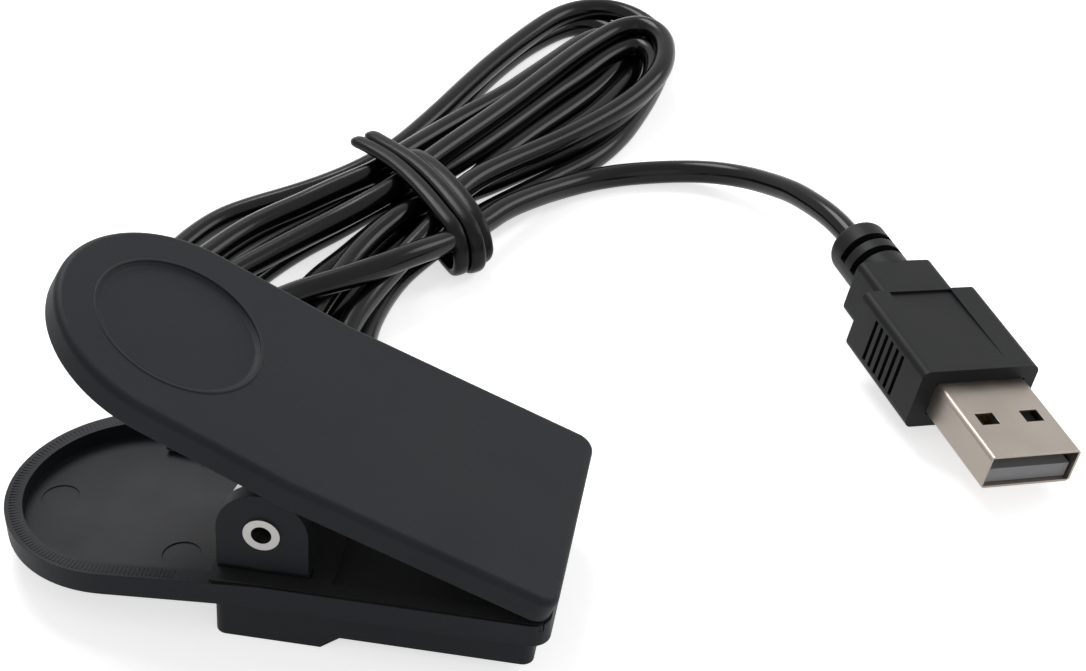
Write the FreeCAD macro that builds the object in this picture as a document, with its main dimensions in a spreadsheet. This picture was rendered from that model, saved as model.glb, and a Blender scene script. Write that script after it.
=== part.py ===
"""Charging clip for a sports watch: two sprung levers, sprung contacts, a tied cable and its plug.

Frame: millimetres, +Z up, +X towards the square gripping end of the jaws, +Y to the side where
the cable leaves.  The origin is on the table under the middle of the clip, and the hinge pin runs
along Y above it.  The clip is drawn closed.
"""
import FreeCAD, Part
import math
import os
import re
import Sketcher
from FreeCAD import Placement, Rotation, Vector

doc = FreeCAD.newDocument("charging_clip")
sheet = doc.addObject("Spreadsheet::Sheet", "sizes")

SIZES = [
    # the clip as a whole
    ("clip_width", 27.5), ("pin_height", 13.4), ("pin_radius", 1.5), ("pin_bore", 1.05),
    ("pin_head_radius", 1.88), ("pin_head_height", 0.25), ("press_gap", 0.02),
    ("run_gap", 0.06), ("side_gap", 0.25), ("nose_radius", 2.0), ("handle_bend", 4.5),
    # lower lever
    ("jaw_top", 8.0), ("lower_side", 2.6), ("lower_reach", 29.3), ("lower_handle", 30.4),
    ("rim_width", 1.9), ("recess_depth", 1.8), ("recess_start", 5.4), ("lip", 0.3),
    ("ear_radius", 4.7), ("skirt_gap", 0.3), ("ear_wall", 1.95), ("ear_skirt_gap", 0.85),
    ("ear_undercut", 0.6), ("mark_radius", 2.0), ("mark_depth", 0.12), ("mark_side", 7.6),
    ("mark_tip", 5.2), ("mark_along", 9.8),
    # rubber liner on the lower jaw
    ("liner_height", 0.8), ("liner_back", 5.1), ("liner_gap", 0.1), ("window_depth", 0.4),
    ("window_start", 7.0), ("window_end", 26.5), ("window_edge", 2.1),
    # upper lever, seen from the pin
    ("upper_rise", 8.85), ("upper_side", 3.0), ("upper_reach", 28.9), ("upper_handle", 29.0),
    ("upper_skin", 1.4), ("upper_wall", 1.6), ("upper_edge", 0.8), ("dish_radius", 8.86),
    ("dish_depth", 0.45), ("dish_slope", 0.5), ("dish_middle", 16.0),
    ("lug_wall", 1.8), ("lug_radius", 3.4), ("nose_gap", 0.05),
    ("grip_start", 8.0), ("grip_end", 24.0), ("grip_width", 18.0), ("grip_height", 1.2),
    ("grip_groove", 0.6),
    # contact housing under the lower jaw
    ("block_back", 5.0), ("block_reach", 27.7), ("block_inset", 1.25), ("block_bottom", 1.6),
    ("block_corner", 1.2), ("block_edge", 0.6), ("foot_reach", 6.0), ("foot_ramp", 2.0),
    ("cavity_back", 0.5), ("cavity_reach", 22.6), ("block_wall", 2.3), ("cavity_floor", 2.8),
    ("well_floor", 0.9),
    # screws that hold the housing
    ("screw_back", 2.7), ("screw_reach", 25.2), ("screw_inset", 2.9), ("screw_head", 1.5),
    ("screw_head_height", 1.0), ("screw_sink", 0.2), ("screw_shank", 0.8), ("screw_bite", 1.5),
    ("screw_slot", 0.45),
    # circuit board and contacts
    ("board_start", 6.4), ("board_length", 16.0), ("board_gap", 0.4), ("board_height", 1.0),
    ("contact_middle", 18.0), ("contact_pitch", 2.54), ("barrel_radius", 0.95),
    ("barrel_floor", 0.45), ("barrel_gap", 0.05), ("plunger_radius", 0.6),
    ("plunger_out", 1.2), ("plunger_length", 3.5), ("plunger_gap", 0.05), ("wire_radius", 0.3),
    # spring
    ("spring_radius", 3.7), ("spring_wire", 0.55), ("spring_pitch", 1.0),
    ("spring_bridge", 14.0), ("spring_reach", 16.2), ("spring_stub", 4.5),
    ("spring_slot", 0.45), ("leg_slot_back", 0.9), ("coil_gap", 0.15),
    # cable, its gland, its hank and the tie round it
    ("cord_radius", 1.5), ("gland_place", 1.5), ("gland_height", 3.0), ("gland_base", 2.4),
    ("gland_tip", 2.0), ("gland_length", 8.0), ("gland_neck", 1.9), ("gland_inside", 2.8),
    ("gland_rings", 3), ("gland_groove", 0.7), ("hank_height", 7.2), ("hank_edge", 1.8),
    ("hank_turn", 67.0), ("waist_x", 2.0), ("waist_y", 67.0), ("tie_x", 1.2), ("tie_y", 66.0),
    ("tie_turn", -52.0),
    ("tie_width", 3.6), ("tie_band", 0.8), ("tie_span", 19.8), ("tie_press", 0.4),
    ("tie_tail", 7.0), ("tie_tail_turn", 16.0),
    # plug
    ("plug_x", 71.35), ("plug_y", 37.5), ("plug_z", 5.25), ("plug_yaw", 29.9),
    ("plug_pitch", 4.0), ("plug_roll", 9.0), ("fit_gap", 0.05), ("shell_width", 12.0),
    ("shell_height", 4.5),
    ("shell_length", 12.0), ("shell_sheet", 0.3), ("shell_root", 3.0), ("shell_corner", 0.6),
    ("tongue_width", 11.0), ("tongue_height", 1.9), ("tongue_back", 0.6), ("pad_width", 1.2),
    ("pad_length", 7.5), ("pad_height", 0.15), ("pad_pitch", 2.25), ("window_width", 2.4),
    ("window_length", 2.0), ("window_place", 5.6), ("window_pitch", 6.0),
    ("grip_front", 0.9), ("grip_shift", -0.4), ("body_width", 15.8), ("body_height", 8.0),
    ("body_length", 15.2), ("body_corner", 1.0), ("neck_width", 10.4), ("neck_height", 7.2),
    ("neck_length", 5.2), ("neck_sweep", 2.4), ("relief_radius", 3.7), ("relief_round", 1.2),
    ("relief_length", 9.7), ("relief_slot", 1.1), ("relief_slot_depth", 1.1),
    ("slot_first", 3.0), ("slot_pitch", 2.5), ("slot_reach", 2.2), ("groove_count", 6),
    ("groove_pitch", 1.3), ("groove_width", 0.6), ("groove_depth", 0.5), ("groove_start", 5.1),
    ("groove_height", 5.6), ("panel_width", 8.6), ("panel_length", 13.4), ("panel_start", 2.4),
    ("panel_left", -5.0), ("panel_slope", 1.4), ("cord_straight", 8.5),
]
for row, (alias, amount) in enumerate(SIZES, 1):
    sheet.set("A%d" % row, alias)
    sheet.set("B%d" % row, str(amount))
    sheet.setAlias("B%d" % row, alias)
doc.recompute()
ALIASES = {alias for alias, amount in SIZES}
REACH = 80.0            # longer than any lever, for cuts that pass right through
X_AXIS, Y_AXIS, Z_AXIS = Vector(1, 0, 0), Vector(0, 1, 0), Vector(0, 0, 1)

# names for what follows from the sheet
WORKED_OUT = {
    "ear_outer": "clip_width / 2 - upper_wall - skirt_gap",
    "coil_stack": "2 * spring_pitch + 2 * spring_wire + coil_gap + side_gap",
    "lug_inner": "ear_outer - ear_wall - coil_stack - lug_wall",
    "block_width": "clip_width - 2 * block_inset",
    "cavity_width": "block_width - 2 * block_wall",
    "board_width": "cavity_width - 2 * board_gap",
    "screw_side": "block_width / 2 - screw_inset",
    "skirt": "upper_rise - upper_side",
    "nose_drop": "asin((pin_height - jaw_top - nose_gap) / sqrt(upper_reach ^ 2 + skirt ^ 2))",
    "closed_lean": "nose_drop + atan(skirt / upper_reach)",
}


def cell(text):
    """An expression in which each name is the sheet's cell, or what follows from its cells."""
    def spell(word):
        if word[0] in WORKED_OUT:
            return "(%s)" % cell(WORKED_OUT[word[0]])
        return ("sizes." if word[0] in ALIASES else "") + word[0]
    return re.sub(r"[a-z_]+", spell, str(text))


def number(text):
    """What an expression comes to, as a plain number."""
    result = sheet.evalExpression(cell(text))
    return float(getattr(result, "Value", result))


# ---- small helpers that add document objects ----

def at(item, x=0, y=0, z=0):
    for letter, text in zip("xyz", (x, y, z)):
        item.setExpression("Placement.Base." + letter, cell(text))
    return item


def turned(item, axis, angle):
    """Turn an item about an axis through its own origin, by an angle from the sheet."""
    item.Placement.Rotation = Rotation(axis, 1)
    item.setExpression("Placement.Rotation.Angle", cell(angle))
    return item


def box(name, length, width, height, x=0, y=0, z=0):
    item = doc.addObject("Part::Box", name)
    for side, text in (("Length", length), ("Width", width), ("Height", height)):
        item.setExpression(side, cell(text))
    return at(item, x, y, z)


def middle_box(name, length, width, height, x=0, z=0):
    """A box that starts at x and z and lies evenly about the middle plane."""
    return box(name, length, width, height, x, "-(%s) / 2" % width, z)


def rod(name, radius, height, x=0, y=0, z=0, axis=Z_AXIS):
    item = doc.addObject("Part::Cylinder", name)
    item.setExpression("Radius", cell(radius))
    item.setExpression("Height", cell(height))
    item.Placement.Rotation = Rotation(Z_AXIS, axis)
    return at(item, x, y, z)


def cone(name, low, high, height, x=0, y=0, z=0, axis=Z_AXIS):
    item = doc.addObject("Part::Cone", name)
    for side, text in (("Radius1", low), ("Radius2", high), ("Height", height)):
        item.setExpression(side, cell(text))
    item.Placement.Rotation = Rotation(Z_AXIS, axis)
    return at(item, x, y, z)


def fuse(name, *items):
    whole = doc.addObject("Part::MultiFuse", name)
    whole.Shapes = list(items)
    whole.Refine = True
    return whole


def common(name, *items):
    whole = doc.addObject("Part::MultiCommon", name)
    whole.Shapes = list(items)
    return whole


def cut(name, base, *tools):
    whole = doc.addObject("Part::Cut", name)
    whole.Base = base
    whole.Tool = tools[0] if len(tools) == 1 else fuse(name + "_tools", *tools)
    whole.Refine = True
    return whole


def rounded(name, base, radius, chosen):
    """Fillet each edge of base whose middle point the test accepts."""
    doc.recompute()
    size = number(radius)
    picked = []
    for index, edge in enumerate(base.Shape.Edges, 1):
        middle = edge.valueAt((edge.FirstParameter + edge.LastParameter) / 2)
        if edge.Length > 0.05 and chosen(edge, middle):
            picked.append((index, size, size))
    if not picked:
        raise RuntimeError(name + " found no edge to round")
    whole = doc.addObject("Part::Fillet", name)
    whole.Base = base
    whole.Edges = picked
    return whole


def upright(edge):
    return abs(abs(edge.tangentAt(edge.FirstParameter).z) - 1) < 1e-3


def near(one, other):
    return abs(one - other) < 0.02


def prism(name, role, corners, depth):
    """A padded sketch: corners are pairs of expressions on an origin plane, depth is centred."""
    body = doc.addObject("PartDesign::Body", name)
    plane = [f for f in body.Origin.OriginFeatures if f.Role == role][0]
    sketch = body.newObject("Sketcher::SketchObject", name + "_outline")
    sketch.AttachmentSupport = [(plane, "")]
    sketch.MapMode = "FlatFace"
    spots = [Vector(number(a), number(b), 0) for a, b in corners]
    for index, spot in enumerate(spots):
        sketch.addGeometry(Part.LineSegment(spot, spots[(index + 1) % len(spots)]))
    for index, (a, b) in enumerate(corners):
        sketch.addConstraint(Sketcher.Constraint("Coincident", index, 2, (index + 1) % len(spots), 1))
        for way, text in (("DistanceX", a), ("DistanceY", b)):
            spot = spots[index].x if way == "DistanceX" else spots[index].y
            rule = sketch.addConstraint(Sketcher.Constraint(way, -1, 1, index, 1, spot))
            sketch.setExpression("Constraints[%d]" % rule, cell(text))
    pad = body.newObject("PartDesign::Pad", name + "_pad")
    pad.Profile = sketch
    pad.Midplane = True
    pad.setExpression("Length", cell(depth))
    body.Tip = pad
    return body


def shaped(name, shape):
    """A solid that Part's own functions made from sizes in the sheet."""
    item = doc.addObject("Part::Feature", name)
    item.Shape = shape
    return item


NODES = []


def node(label, item):
    item.Label = label
    NODES.append(item)
    return item



# ---- levers: a square jaw and a round-ended handle, slabs whose tops are at z = 0 ----

def jaw_slab(name, reach, width, side, corner):
    """A slab from behind the bend to the nose, with its two nose corners rounded."""
    slab = middle_box(name + "_slab", "%s + (%s) / 4" % (reach, width), width, side,
                      "-(%s) / 4" % width, "-(%s)" % side)
    end = number(reach)
    return rounded(name + "_nose", slab, corner,
                   lambda edge, middle: upright(edge) and near(middle.x, end))


def handle_slab(name, length, width, side):
    """A slab that runs towards -X and ends in a half circle."""
    straight = "(%s - (%s) / 2)" % (length, width)
    bar = middle_box(name + "_bar", "%s + (%s) / 4" % (straight, width), width, side,
                     "-" + straight, "-(%s)" % side)
    end = rod(name + "_end", "(%s) / 2" % width, side, "-" + straight, 0, "-(%s)" % side)
    return fuse(name + "_plan", bar, end)


def soft_top(name, slab, radius, open_end):
    """Round the edge round a slab's top face, all but where it runs on into the other slab."""
    stop = number(open_end)
    return rounded(name, slab, radius, lambda edge, middle: near(middle.z, 0)
                   and near(edge.valueAt(edge.FirstParameter).z, 0)
                   and not (near(middle.x, stop) and near(middle.y, 0)))


def half_space(name, side, turn):
    """The space ahead of (side 1) or behind (side -1) the mitre plane at the bend."""
    return turned(rod(name, REACH, REACH), Y_AXIS, "%d + %s" % (90 * side, turn))


def bent(name, jaw, handle, rise, top):
    """Join a jaw and a handle whose tops meet on a line at x = 0, the handle tilted by rise."""
    front = common(name + "_front", jaw, half_space(name + "_ahead", 1, rise + " / 2"))
    rear = common(name + "_rear", handle, half_space(name + "_behind", -1, "-(%s) / 2" % rise))
    turned(at(rear, 0, 0, top), Y_AXIS, rise)
    return fuse(name, at(front, 0, 0, top), rear)


def pair(name, make):
    """The same piece on the camera's side and on the far side of the middle plane."""
    return [make(name + "_near", -1), make(name + "_far", 1)]


def lower_ear(name, side):
    """One ear that holds the pin: its round top, its cheek and its narrower foot."""
    outer = "-ear_outer" if side < 0 else "ear_outer - ear_wall"
    foot = "-ear_outer + ear_undercut" if side < 0 else "ear_outer - ear_wall"
    cheek = box(name + "_cheek", "2 * ear_radius", "ear_wall",
                "pin_height - jaw_top - ear_skirt_gap", "-ear_radius", outer,
                "jaw_top + ear_skirt_gap")
    top = rod(name + "_top", "ear_radius", "ear_wall", 0, outer + " + ear_wall", "pin_height",
              -Y_AXIS)
    base = box(name + "_foot", "2 * ear_radius", "ear_wall - ear_undercut",
               "ear_skirt_gap + lower_side / 2 + 0.1", "-ear_radius", foot,
               "jaw_top - lower_side / 2")
    return fuse(name, cheek, top, base)


def handle_point(along, below):
    """World x and z of a point on the lower handle, from the bend and down from its top."""
    x = "(-(%s) * cos(handle_bend) + (%s) * sin(handle_bend))" % (along, below)
    z = "(jaw_top - (%s) * sin(handle_bend) - (%s) * cos(handle_bend))" % (along, below)
    return x, z


def leg_slot(name, depth):
    """Room for the spring's long leg beside the far ear, as deep as asked below the liner."""
    return box(name, "liner_back + leg_slot_back + 0.1", "3 * spring_wire",
               "2 * liner_height", "-liner_back - leg_slot_back",
               "ear_outer - ear_wall - 3 * spring_wire", "jaw_top - liner_height - %s" % depth)


def lower_jaw():
    jaw = jaw_slab("lower_front", "lower_reach", "clip_width", "lower_side", "nose_radius")
    handle = handle_slab("lower_back", "lower_handle", "clip_width", "lower_side")
    shell = bent("lower_shell", jaw, handle, "(-handle_bend)", "jaw_top")
    recess = handle_slab("lower_recess_plan", "lower_handle - rim_width",
                         "clip_width - 2 * rim_width", "recess_depth")
    mouth = middle_box("lower_recess_mouth", REACH, REACH, "2 * recess_depth",
                       "-%s - recess_start" % REACH, "-recess_depth * 1.5")
    recess = common("lower_recess", recess, mouth)
    turned(at(recess, 0, 0, "jaw_top"), Y_AXIS, "-handle_bend")
    marks = []
    for name, along, side in (("tip", "lower_handle - mark_tip", "0"),
                              ("near", "mark_along", "-mark_side"),
                              ("far", "mark_along", "mark_side")):
        x, z = handle_point(along, "recess_depth + mark_depth")
        marks.append(turned(rod("lower_mark_" + name, "mark_radius", "2 * mark_depth", x, side, z),
                            Y_AXIS, "-handle_bend"))
    tray = middle_box("lower_tray", "liner_back + lower_reach - 2 * lip", "clip_width - 2 * lip",
                      "2 * liner_height", "-liner_back", "jaw_top - liner_height")
    slot = leg_slot("lower_leg_slot", "spring_slot")
    shell = cut("lower_tub", shell, recess, tray, slot, *marks)
    ears = pair("lower_ear", lower_ear)
    whole = fuse("lower_whole", shell, *ears)
    pin = rod("lower_pin_bore", "pin_radius + press_gap", REACH, 0, REACH / 2, "pin_height", -Y_AXIS)
    tools = [pin] + contact_rods("lower_contact_hole", "barrel_radius + barrel_gap", "0",
                                 "2 * jaw_top")
    tools += [rod("lower_pilot_%d" % (k + 1), "screw_shank", "screw_bite + lower_side / 2", x, y,
                  "jaw_top - lower_side * 1.5") for k, (x, y) in enumerate(SCREWS)]
    return cut("lower_jaw", whole, *tools)


SCREWS = [("-screw_back", "-screw_side"), ("-screw_back", "screw_side"),
          ("screw_reach", "-screw_side"), ("screw_reach", "screw_side")]


def contact_rods(name, radius, bottom, height):
    return [rod("%s_%d" % (name, k + 1), radius, height, "contact_middle",
                "contact_pitch * %g" % (k - 1.5), bottom) for k in range(4)]


def jaw_liner():
    edge = "(lip + liner_gap)"
    pad = middle_box("liner_pad", "liner_back + lower_reach - 2 * lip - 2 * liner_gap",
                     "clip_width - 2 * %s" % edge, "liner_height", "-liner_back + liner_gap",
                     "jaw_top - liner_height")
    window = middle_box("liner_window", "window_end - window_start",
                        "clip_width - 2 * window_edge", "2 * window_depth", "window_start",
                        "jaw_top - window_depth")
    holes = contact_rods("liner_contact_hole", "barrel_radius + barrel_gap", "0", "2 * jaw_top")
    feet = [box("liner_foot_hole_" + name, "2 * (ear_radius + liner_gap)",
                "ear_wall - ear_undercut + 2 * liner_gap", "2 * lower_side",
                "-ear_radius - liner_gap", start + " - liner_gap", "jaw_top - lower_side")
            for name, start in (("near", "-ear_outer + ear_undercut"),
                                ("far", "ear_outer - ear_wall"))]
    slot = leg_slot("liner_leg_slot", "spring_slot")
    return cut("jaw_liner", pad, window, slot, *(holes + feet))


# ---- the contact housing under the jaw, with its board and contacts ----

def housing_box(name, back, reach, width, bottom, top):
    return middle_box(name, "%s + %s" % (back, reach), width, "%s - (%s)" % (top, bottom),
                      "-(%s)" % back, bottom)


def housing():
    top = "(jaw_top - lower_side)"
    block = housing_box("housing_block", "block_back", "block_reach", "block_width",
                        "block_bottom", top)
    foot = prism("housing_foot", "XZ_Plane",
                 [("-block_back", 0), ("foot_reach", 0), ("foot_reach + foot_ramp", "block_bottom"),
                  ("foot_reach + foot_ramp", "block_bottom + 1"), ("-block_back", "block_bottom + 1")],
                 "block_width")
    whole = fuse("housing_solid", block, foot)
    back, reach = number("-block_back"), number("block_reach")
    whole = rounded("housing_corners", whole, "block_corner", lambda edge, middle: upright(edge)
                    and (near(middle.x, back) or near(middle.x, reach)))
    cavity = housing_box("housing_cavity", "1 - foot_reach", "cavity_reach", "cavity_width",
                         "cavity_floor", top + " + 1")
    well = housing_box("housing_well", "cavity_back", "foot_reach", "cavity_width",
                       "well_floor", top + " + 1")
    outlet = rod("housing_outlet", "gland_neck + press_gap", "block_width", "gland_place", 0,
                 "gland_height", Y_AXIS)
    tools = [cavity, well, outlet, doc.getObject("lower_shell")]
    for k, (x, y) in enumerate(SCREWS):
        floor = "0" if k < 2 else "block_bottom"
        tools.append(rod("housing_sink_%d" % (k + 1), "screw_head + liner_gap",
                         "screw_head_height + screw_sink + 1", x, y, "(%s) - 1" % floor))
        tools.append(rod("housing_screw_hole_%d" % (k + 1), "screw_shank + barrel_gap", "jaw_top",
                         x, y, floor))
    return cut("contact_housing", whole, *tools)


def cover_screw(k):
    """A pan screw from below: its head in its sink, its shank in the lower jaw."""
    x, y = SCREWS[k]
    floor = "screw_sink" if k < 2 else "(block_bottom + screw_sink)"
    name = "cover_screw_%d" % (k + 1)
    head = rod(name + "_head", "screw_head", "screw_head_height", x, y, floor)
    shank = rod(name + "_shank", "screw_shank", "jaw_top - lower_side + screw_bite - %s" % floor,
                x, y, floor)
    drive = [box(name + "_drive_" + way, length, width, "2 * screw_slot",
                 "%s - (%s) / 2" % (x, length), "%s - (%s) / 2" % (y, width),
                 "%s - screw_slot" % floor)
             for way, length, width in (("long", "1.4 * screw_head", "0.4"),
                                        ("wide", "0.4", "1.4 * screw_head"))]
    return cut(name, fuse(name + "_blank", head, shank), *drive)


def board_top():
    return "(cavity_floor + board_height)"


def barrel(k):
    name = "contact_barrel_%d" % (k + 1)
    place = ("contact_middle", "contact_pitch * %g" % (k - 1.5))
    tube = rod(name + "_tube", "barrel_radius", "jaw_top - window_depth - %s" % board_top(),
               *place, board_top())
    bore = rod(name + "_bore", "plunger_radius + plunger_gap", "jaw_top", *place,
               board_top() + " + barrel_floor")
    return cut(name, tube, bore)


def plunger(k):
    """A sprung contact: a rod with a domed tip that stands out of the liner."""
    name = "contact_plunger_%d" % (k + 1)
    place = ("contact_middle", "contact_pitch * %g" % (k - 1.5))
    low = "jaw_top - window_depth + plunger_out - plunger_length"
    stem = rod(name + "_stem", "plunger_radius", "plunger_length", *place, low)
    level = number(low + " + plunger_length")
    return rounded(name, stem, "0.6 * plunger_radius",
                   lambda edge, middle: near(edge.valueAt(edge.FirstParameter).z, level)
                   and edge.Closed)


def arc_path(points, tight=0.45):
    """Straight runs joined by tangent arcs, each as large as its two runs allow."""
    edges, radii, start = [], [], points[0]
    for before, corner, after in zip(points, points[1:], points[2:]):
        one, two = (before - corner), (after - corner)
        turn = math.pi - one.getAngle(two)
        trim = tight * min(one.Length, two.Length)
        radii.append(trim / math.tan(turn / 2))
        enter = corner + Vector(one).normalize() * trim
        leave = corner + Vector(two).normalize() * trim
        inward = (Vector(one).normalize() + Vector(two).normalize()).normalize()
        middle = corner + inward * (radii[-1] / math.cos(turn / 2) - radii[-1])
        edges.append(Part.LineSegment(start, enter).toShape())
        edges.append(Part.Arc(enter, middle, leave).toShape())
        start = leave
    edges.append(Part.LineSegment(start, points[-1]).toShape())
    return Part.Wire(edges), radii


def tube(points, radius, tight=0.45):
    """A round solid along a route, and the radii of its bends."""
    path, radii = arc_path(points, tight)
    ring = Part.Wire([Part.makeCircle(radius, points[0], points[1] - points[0])])
    solid = path.makePipeShell([ring], True, False)
    wanted = math.pi * radius ** 2 * path.Length
    if abs(solid.Volume / wanted - 1) > 0.01:
        raise RuntimeError("a tube's volume is not its section times its length")
    return solid, path.Length, radii


def lead_wire(k):
    """One of four thin wires from the gland's inner end to the board's edge."""
    rise = number("wire_radius")
    side = number("contact_pitch") * (k - 1.5)
    x = number("gland_place") + (k - 1.5) * 3 * rise
    y = number("block_width / 2 - gland_inside")
    level = number(board_top()) + rise
    start = Vector(x, y, number("gland_height"))
    turn = Vector(x, side, level)
    end = Vector(number("board_start") + 1.2, side, level)
    solid, length, radii = tube([start, turn, end], rise, 0.3)
    return shaped("lead_wire_%d" % (k + 1), solid)


def circuit_board():
    return middle_box("circuit_board", "board_length", "board_width", "board_height",
                      "board_start", "cavity_floor")


def board_parts():
    chip = box("power_chip", "3", "3", "0.9", "board_start + 3.5", "-1.5", board_top())
    node("power_chip", chip)
    for k, side in enumerate((-5.5, 5.5)):
        name = "capacitor_%d" % (k + 1)
        node(name, box(name, "1.6", "0.8", "0.8", "board_start + 5", "%g - 0.4" % side,
                       board_top()))


# ---- hinge pin and spring ----

def hinge_pin():
    length = "2 * ear_outer"
    shaft = rod("pin_shaft", "pin_radius", length, 0, "ear_outer", "pin_height", -Y_AXIS)
    heads = [rod("pin_head_near", "pin_head_radius", "pin_head_height", 0, "-ear_outer",
                 "pin_height", -Y_AXIS),
             rod("pin_head_far", "pin_head_radius", "pin_head_height", 0, "ear_outer",
                 "pin_height", Y_AXIS)]
    bore = rod("pin_bore_cut", "pin_bore", "2 * %s" % length, 0, length, "pin_height", -Y_AXIS)
    return cut("hinge_pin", fuse("pin_blank", shaft, *heads), bore)


def torsion_spring():
    """Two short coils on the pin, bridged under the upper handle, with legs on the lower one."""
    wire, coil, pitch = number("spring_wire"), number("spring_radius"), number("spring_pitch")
    thin = 0.95 * wire          # the straight legs, so that no two surfaces run along each other
    centre = Vector(0, 0, number("pin_height"))
    inner = number("lug_inner + lug_wall + side_gap") + wire
    parts = [Part.makeTorus(coil, wire, centre + Y_AXIS * side * (inner + k * pitch), Y_AXIS)
             for side in (-1, 1) for k in range(3)]
    outer = inner + 2 * pitch
    bridge = number("spring_bridge")
    climb = math.asin((number("upper_rise - upper_skin") - wire - coil - 0.1) / bridge)
    climb += math.radians(number("closed_lean") + number("handle_bend"))
    way = Vector(-math.cos(climb), 0, math.sin(climb))
    start = centre + Vector(math.sin(climb), 0, math.cos(climb)) * coil
    for side in (-1, 1):
        parts.append(Part.makeCylinder(thin, bridge, start + Y_AXIS * side * inner, way))
        parts.append(Part.makeSphere(wire, start + way * bridge + Y_AXIS * side * inner))
    parts.append(Part.makeCylinder(thin, 2 * inner, start + way * bridge - Y_AXIS * inner, Y_AXIS))
    x, z = handle_point("spring_reach", "recess_depth - spring_wire")
    tip = Vector(number(x), 0, number(z)) - centre
    fall = math.atan2(-tip.z, -tip.x) - math.asin(coil / tip.Length)
    way = Vector(-math.cos(fall), 0, -math.sin(fall))
    start = centre + Vector(math.sin(fall), 0, -math.cos(fall)) * coil
    leg = math.sqrt(tip.Length ** 2 - coil ** 2)
    parts.append(Part.makeCylinder(thin, leg, start + Y_AXIS * outer, way))
    parts.append(Part.makeCylinder(thin, number("spring_stub"), start - Y_AXIS * outer, way))
    return shaped("torsion_spring", parts[0].multiFuse(parts[1:]))


# ---- upper lever, drawn from the pin with its jaw level, then leaned shut ----

def lean(item):
    """Put a piece of the upper lever where it lies when the jaws are shut."""
    return turned(at(item, 0, 0, "pin_height"), Y_AXIS, "closed_lean")


def upper_lug(name, side):
    place = "-lug_inner" if side < 0 else "lug_inner + lug_wall"
    start = "-lug_inner - lug_wall" if side < 0 else "lug_inner"
    web = box(name + "_web", "2 * lug_radius", "lug_wall", "upper_rise - upper_skin / 2",
              "-lug_radius", start, 0)
    eye = rod(name + "_eye", "lug_radius", "lug_wall", 0, place, 0, -Y_AXIS)
    hole = rod(name + "_hole", "pin_radius + run_gap", "3 * lug_wall", 0,
               "%s + lug_wall" % place, 0, -Y_AXIS)
    return cut(name, fuse(name + "_solid", web, eye), hole)


def upper_jaw():
    jaw = jaw_slab("upper_front", "upper_reach", "clip_width", "upper_side", "nose_radius")
    jaw = soft_top("upper_front_soft", jaw, "upper_edge", "-clip_width / 4")
    handle = handle_slab("upper_back", "upper_handle", "clip_width", "upper_side")
    handle = soft_top("upper_back_soft", handle, "upper_edge", "clip_width / 4")
    shell = bent("upper_shell", jaw, handle, "handle_bend", "upper_rise")
    inside = "clip_width - 2 * upper_wall"
    depth = "upper_side"
    front = jaw_slab("upper_hollow_front", "upper_reach - upper_wall", inside, depth,
                     "nose_radius / 2")
    rear = handle_slab("upper_hollow_back", "upper_handle - upper_wall", inside, depth)
    under = "upper_rise - upper_skin"
    turned(at(rear, 0, 0, under), Y_AXIS, "handle_bend")
    dish = cone("upper_dish", "dish_radius - dish_slope", "dish_radius", "dish_depth",
                "-dish_middle", 0, "-dish_depth")
    dish_top = rod("upper_dish_top", "dish_radius", 1, "-dish_middle", 0, 0)
    dish = fuse("upper_dish_cut", dish, dish_top)
    turned(at(dish, 0, 0, "upper_rise"), Y_AXIS, "handle_bend")
    hollow = cut("upper_hollowed", shell, at(front, 0, 0, under), rear, dish)
    return lean(fuse("upper_jaw", hollow, *pair("upper_lug", upper_lug)))


def grip_pad():
    """A ribbed rubber pad under the upper jaw."""
    low = "upper_rise - upper_skin - grip_height"
    pad = middle_box("grip_pad_box", "grip_end - grip_start", "grip_width", "grip_height",
                     "grip_start", low)
    pad = rounded("grip_pad_round", pad, "2 * upper_edge", lambda edge, middle: upright(edge))
    count = 5
    grooves = [middle_box("grip_groove_%d" % (k + 1), "grip_groove", "2 * grip_width",
                          "grip_groove", "grip_start + (grip_end - grip_start) * %g - grip_groove / 2"
                          % ((k + 1) / (count + 1)), "%s - grip_groove / 2" % low)
               for k in range(count)]
    return lean(cut("grip_pad", pad, *grooves))


# ---- plug, drawn with its mating end towards -Y, then laid on the table ----

def laid(item):
    """Lay a piece of the plug where it rests."""
    item.setExpression("Placement", cell(
        "placement(vector(plug_x; plug_y; plug_z); rotation(vector(0; 0; 1); plug_yaw)"
        " * rotation(vector(1; 0; 0); plug_pitch) * rotation(vector(0; 1; 0); plug_roll))"))
    return item


def block(name, width, start, length, height, middle_x="0", middle_z="0"):
    """A box in the plug's frame, even about a middle line that runs along Y."""
    return box(name, width, length, height, "%s - (%s) / 2" % (middle_x, width), start,
               "%s - (%s) / 2" % (middle_z, height))


def along_y(edge):
    return abs(abs(edge.tangentAt(edge.FirstParameter).y) - 1) < 1e-3


def usb_shell():
    """A folded steel shell with two latch windows on each broad face."""
    outer = rounded("shell_outer", block("shell_outer_box", "shell_width", "-shell_length",
                                         "shell_length + shell_root", "shell_height"),
                    "shell_corner", lambda edge, middle: along_y(edge))
    inner = block("shell_inner", "shell_width - 2 * shell_sheet", "-shell_length - 1",
                  "shell_length + shell_root + 2", "shell_height - 2 * shell_sheet")
    windows = [block("shell_window_%d" % (k + 1), "window_width", "-window_place - window_length / 2",
                     "window_length", "2 * shell_height", "window_pitch * %g" % (k - 0.5))
               for k in range(2)]
    return laid(cut("usb_shell", outer, inner, *windows))


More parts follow.
